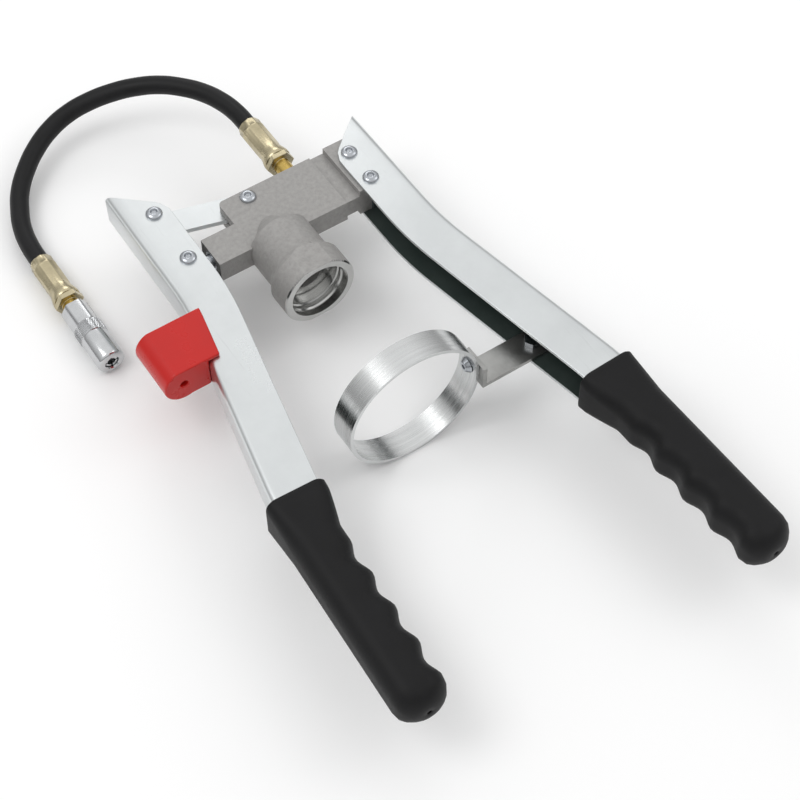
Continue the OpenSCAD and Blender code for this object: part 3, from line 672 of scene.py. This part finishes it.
def grown(name, tree, values, turn, slot, body):
    """Runs a geometry node tree with named inputs and keeps the plain mesh, put in place."""
    obj = bpy.data.objects.new(name, bpy.data.meshes.new(name))
    bpy.context.scene.collection.objects.link(obj)
    mod = obj.modifiers.new("detail", "NODES")
    mod.node_group = tree
    values = dict(values, Material=material(slot))
    for item in tree.interface.items_tree:
        if item.in_out == "INPUT" and item.name in values:
            mod[item.identifier] = values[item.name]
    bake(obj)
    obj.data.transform(turn)
    build = bmesh.new()
    build.from_mesh(obj.data)
    bmesh.ops.remove_doubles(build, verts=build.verts, dist=1e-7)
    bmesh.ops.recalc_face_normals(build, faces=build.faces)
    build.to_mesh(obj.data)
    build.free()
    return dress(obj, slot, body, smooth=25)


# Operators

class GREASEGUN_OT_camera(bpy.types.Operator):
    """Place the camera"""

    bl_idname = "greasegun.camera"
    bl_label = "Camera"

    def execute(self, context):
        az, el, roll = math.radians(-33.21), math.radians(54.95), math.radians(-0.5)
        back = Vector((math.sin(az) * math.cos(el), -math.cos(az) * math.cos(el), math.sin(el)))
        right = Vector((0, 0, 1)).cross(back).normalized()
        up = back.cross(right)
        right, up = (math.cos(roll) * right + math.sin(roll) * up,
                     -math.sin(roll) * right + math.cos(roll) * up)
        data = bpy.data.cameras.new("view")
        data.sensor_width, data.lens = 36.0, 85.48
        data.clip_start, data.clip_end = 0.05, 20.0
        camera = bpy.data.objects.new("view", data)
        context.scene.collection.objects.link(camera)
        turn = Matrix((right, up, back)).transposed().to_4x4()
        place = 0.0426 * right - 0.0583 * up + 1.0185 * back
        camera.matrix_world = Matrix.Translation(place) @ turn
        context.scene.camera = camera
        return {"FINISHED"}


class GREASEGUN_OT_casting(bpy.types.Operator):
    """Pump head with rounded cast edges and its machined, threaded mouth"""

    bl_idname = "greasegun.casting"
    bl_label = "Pump head"

    def execute(self, context):
        props = look()
        rim_r, rim_y, mouth_r, mouth_y = 21.4, 1.0, 17.8, 13.5
        machined = second_material("machined", lambda c, n: (
            (c.x ** 2 + c.z ** 2) ** 0.5 < rim_r and c.y < rim_y and n.y < -0.3
            or (c.x ** 2 + c.z ** 2) ** 0.5 < mouth_r and c.y < mouth_y))
        soften("pump_head", "casting_body", "casting", "head", props.cast_edge, 3, 14, machined)
        turns, thread_r, ridge, thread_start = 2.6, 0.01755, 0.00105, 0.0022
        turn = Matrix.Translation((0, thread_start, 0)) @ Matrix.Rotation(math.radians(-90), 4, "X")
        grown("mouth_thread", thread_tree(),
              {"Turns": turns, "Radius": thread_r, "Length": turns * props.thread_pitch,
               "Ridge": ridge}, turn, "machined", "head")
        return {"FINISHED"}


class GREASEGUN_OT_levers(bpy.types.Operator):
    """Pressed channel levers with round bends and slanted tips"""

    bl_idname = "greasegun.levers"
    bl_label = "Levers"

    def execute(self, context):
        for name, place, body in (("drive_lever", drive_side, "drive_lever"),
                                  ("fixed_lever", fixed_side, "head")):
            verts, faces, inside = lever_mesh(place)
            new_piece(name + "_channel", verts, faces, "zinc_sheet", body, (name,),
                      SHEET_EDGE, 2, 50, inside)
        return {"FINISHED"}


class GREASEGUN_OT_grips(bpy.types.Operator):
    """Moulded rubber grips with finger grooves"""

    bl_idname = "greasegun.grips"
    bl_label = "Grips"

    def execute(self, context):
        for name, place, body in (("drive_grip", drive_side, "drive_lever"),
                                  ("fixed_grip", fixed_side, "head")):
            new_piece(name + "_moulding", *grip_mesh(place), "grip_rubber", body, (name,), smooth=45)
        return {"FINISHED"}


class GREASEGUN_OT_rivets(bpy.types.Operator):
    """Domed and dimpled rivets of the linkage and of the fixed lever"""

    bl_idname = "greasegun.rivets"
    bl_label = "Rivets"

    def execute(self, context):
        half, head_half = LEVER_H / 2, 7.0
        for name, centres, grip, body in (
                ("link_rivet", (LINK_FAR,), half, "drive_lever"),
                ("piston_rivet", (PISTON_EYE,), half, "drive_lever"),
                ("head_rivets", HEAD_RIVETS, half, "head"),
                ("link_pivot_rivet", (LINK_NEAR,), head_half, "head")):
            parts = merged([rivet_mesh(c, grip) for c in centres])
            new_piece(name + "_domed", *parts, "steel", body, (name,), smooth=40)
        return {"FINISHED"}


class GREASEGUN_OT_holder(bpy.types.Operator):
    """Plastic holder that parks the coupler"""

    bl_idname = "greasegun.holder"
    bl_label = "Hose holder"

    def execute(self, context):
        soften("hose_clip", "holder_moulding", "red_plastic", "drive_lever", 0.0012, 4, 35)
        return {"FINISHED"}


class GREASEGUN_OT_ring(bpy.types.Operator):
    """Cartridge ring with its bracket, screw, bolt and nut"""

    bl_idname = "greasegun.ring"
    bl_label = "Cartridge ring"

    def execute(self, context):
        soften("retaining_ring", "ring_band", "ring_steel", "head", 0.0004, 3, 30)
        soften("ring_bracket", "bracket_strap", "bracket_steel", "head", 0.0005, 3, 35)
        soften("ring_screw", "ring_screw_round", "steel", "head", 0.0003, 2, 35)
        soften("bracket_bolt", "bracket_bolt_hex", "steel", "head", 0.0003, 2, 30)
        soften("bracket_nut", "bracket_nut_hex", "steel", "head", 0.0003, 2, 30)
        return {"FINISHED"}


class GREASEGUN_OT_hose(bpy.types.Operator):
    """Hose with crimped ferrules, fittings and the knurled coupler"""

    bl_idname = "greasegun.hose"
    bl_label = "Hose and coupler"

    def execute(self, context):
        # The far end repeats the head's end, this much further along Y
        shift, base, mouth_y, stem_end = 2.0, 92.5, 125, 88.8
        first = new_piece("ferrule_head_crimped", *ferrule_mesh(HOSE_PORT, base, mouth_y),
                          "yellow_zinc", "head", ("hose_ferrule_head",), smooth=45)
        end = new_piece("ferrule_end_crimped",
                        *ferrule_mesh(COUPLER_AXIS, base + shift, mouth_y + shift),
                        "yellow_zinc", "head", ("hose_ferrule_end",), smooth=45)
        gold = second_material("brass", lambda c, n: c.y < stem_end)
        port = soften("hose_fitting_head", "fitting_head_hex", "yellow_zinc", "head",
                      0.0005, 3, 30, gold)
        gold_end = second_material("brass", lambda c, n: c.y < stem_end + shift)
        fitting = soften("hose_fitting_end", "fitting_end_hex", "yellow_zinc", "head",
                         0.0005, 3, 30, gold_end)
        body = soften("coupler_body", "coupler_hexagon", "bright_plate", "head", 0.0005, 3, 30)
        top, mouth = 71.5, 42.5
        profile = [(top, 6.0), (top, 7.9), (top - 0.4, 8.05), (top - 8.6, 8.05), (top - 8.9, 7.7),
                   (top - 9.6, 7.7), (top - 9.9, 8.1), (mouth + 2.2, 8.1), (mouth + 1.1, 7.8),
                   (mouth + 0.4, 7.1), (mouth, 6.2), (mouth, 4.4), (mouth + 0.5, 3.95), (mouth + 2, 3.9),
                   (mouth + 7, 6.0), (top, 6.0)]
        sleeve = new_piece("coupler_sleeve_turned", *lathe(profile, COUPLER_AXIS, "Y", 72),
                           "bright_plate", "head", ("coupler_sleeve",), smooth=35)
        rows, row_step, knurl_r, point, knurl_y = 9, 0.0009, 0.00812, 0.00042, 0.0633
        turn = Matrix.Translation((-0.108, knurl_y, -0.031)) @ Matrix.Rotation(
            math.radians(-90), 4, "X")
        knurl = grown("coupler_knurl", knurl_tree(),
                      {"Count": look().knurl_count, "Rows": rows, "Radius": knurl_r,
                       "Row Step": row_step, "Point Size": point}, turn, "bright_plate", "head")
        curve = bpy.data.curves.new("hose_rubber_tube", "CURVE")
        curve.dimensions = "3D"
        curve.bevel_depth, curve.bevel_resolution, curve.use_fill_caps = 0.0055, 8, True
        spline = curve.splines.new("BEZIER")
        spline.bezier_points.add(len(HOSE_ROUTE) - 1)
        spline.resolution_u = 10
        for knot, place in zip(spline.bezier_points, HOSE_ROUTE):
            knot.co = Vector(place) * MM
            knot.handle_left_type = knot.handle_right_type = "AUTO"
        hose = bpy.data.objects.new("hose_rubber_tube", curve)
        context.scene.collection.objects.link(hose)
        curve.materials.append(material("hose_rubber"))
        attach(hose, "head")
        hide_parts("hose")
        return {"FINISHED"}


class GREASEGUN_OT_inner_parts(bpy.types.Operator):
    """Finishes of the pump's inner and small parts"""

    bl_idname = "greasegun.inner_parts"
    bl_label = "Inner parts"

    def execute(self, context):
        for node, slot in NODE_FINISH.items():
            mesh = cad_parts[node].data
            mesh.materials.clear()
            mesh.materials.append(material(slot))
        return {"FINISHED"}


class GREASEGUN_OT_stage(bpy.types.Operator):
    """Pale floor and soft studio lights"""

    bl_idname = "greasegun.stage"
    bl_label = "Stage"

    def execute(self, context):
        size, level = 3.0, -0.0399
        mesh = bpy.data.meshes.new("floor")
        mesh.from_pydata([(-size, -size, level), (size, -size, level), (size, size, level),
                          (-size, size, level)], [], [(0, 1, 2, 3)])
        floor = bpy.data.objects.new("floor", mesh)
        context.scene.collection.objects.link(floor)
        mat = bpy.data.materials.new("pale_floor")
        mat.use_nodes = True
        shader = mat.node_tree.nodes["Principled BSDF"]
        shader.inputs["Base Color"].default_value = (0.93, 0.93, 0.93, 1)
        shader.inputs["Roughness"].default_value = 0.9
        shader.inputs["Specular IOR Level"].default_value = 0.1
        mesh.materials.append(mat)
        world = bpy.data.worlds.new("studio")
        world.use_nodes = True
        nodes, link = world.node_tree.nodes, world.node_tree.links.new
        coords, split = nodes.new("ShaderNodeTexCoord"), nodes.new("ShaderNodeSeparateXYZ")
        ramp = nodes.new("ShaderNodeMapRange")
        ramp.inputs["From Max"].default_value = 0.75
        ramp.inputs["To Min"].default_value = 0.3
        ramp.inputs["To Max"].default_value = 0.98
        link(coords.outputs["Generated"], split.inputs["Vector"])
        link(split.outputs["Z"], ramp.inputs["Value"])
        link(ramp.outputs["Result"], nodes["Background"].inputs["Strength"])
        nodes["Background"].inputs["Color"].default_value = (1, 1, 1, 1)
        context.scene.world = world
        # Name, place, width in metres and power in watts
        lamps = (("key", (-0.9, 0.3, 1.5), 0.8, 6.0),
                 ("fill", (1.2, -0.5, 1.1), 0.9, 3.0),
                 ("back", (0.6, 1.4, 0.9), 0.6, 2.5))
        for name, place, width, power in lamps:
            data = bpy.data.lights.new(name, "AREA")
            data.size, data.energy = width, power
            lamp = bpy.data.objects.new(name, data)
            context.scene.collection.objects.link(lamp)
            lamp.matrix_world = Matrix.Translation(place) @ (
                Vector(place).to_track_quat("Z", "Y").to_matrix().to_4x4())
        context.scene.view_settings.view_transform = "Standard"
        return {"FINISHED"}


class GREASEGUN_PT_panel(bpy.types.Panel):
    """Colours, sizes and pieces of the grease gun"""

    bl_label = "Grease Gun"
    bl_idname = "GREASEGUN_PT_panel"
    bl_space_type = "VIEW_3D"
    bl_region_type = "UI"
    bl_category = "Grease Gun"

    def draw(self, context):
        props = context.scene.grease_gun_look
        for name in GreaseGunLook.__annotations__:
            self.layout.prop(props, name)
        for operator in OPERATORS:
            self.layout.operator(operator.bl_idname)


OPERATORS = (GREASEGUN_OT_camera, GREASEGUN_OT_hose, GREASEGUN_OT_casting, GREASEGUN_OT_levers,
             GREASEGUN_OT_grips, GREASEGUN_OT_rivets, GREASEGUN_OT_holder, GREASEGUN_OT_ring,
             GREASEGUN_OT_inner_parts, GREASEGUN_OT_stage)
CLASSES = (GreaseGunLook, *OPERATORS, GREASEGUN_PT_panel)


def register():
    for cls in CLASSES:
        bpy.utils.register_class(cls)
    bpy.types.Scene.grease_gun_look = bpy.props.PointerProperty(type=GreaseGunLook)


def unregister():
    del bpy.types.Scene.grease_gun_look
    for cls in reversed(CLASSES):
        bpy.utils.unregister_class(cls)


def main():
    register()
    for name in ("camera", "hose", "casting", "levers", "grips", "rivets", "holder", "ring",
                 "inner_parts", "stage"):
        getattr(bpy.ops.greasegun, name)()


if __name__ == "__main__":
    main()
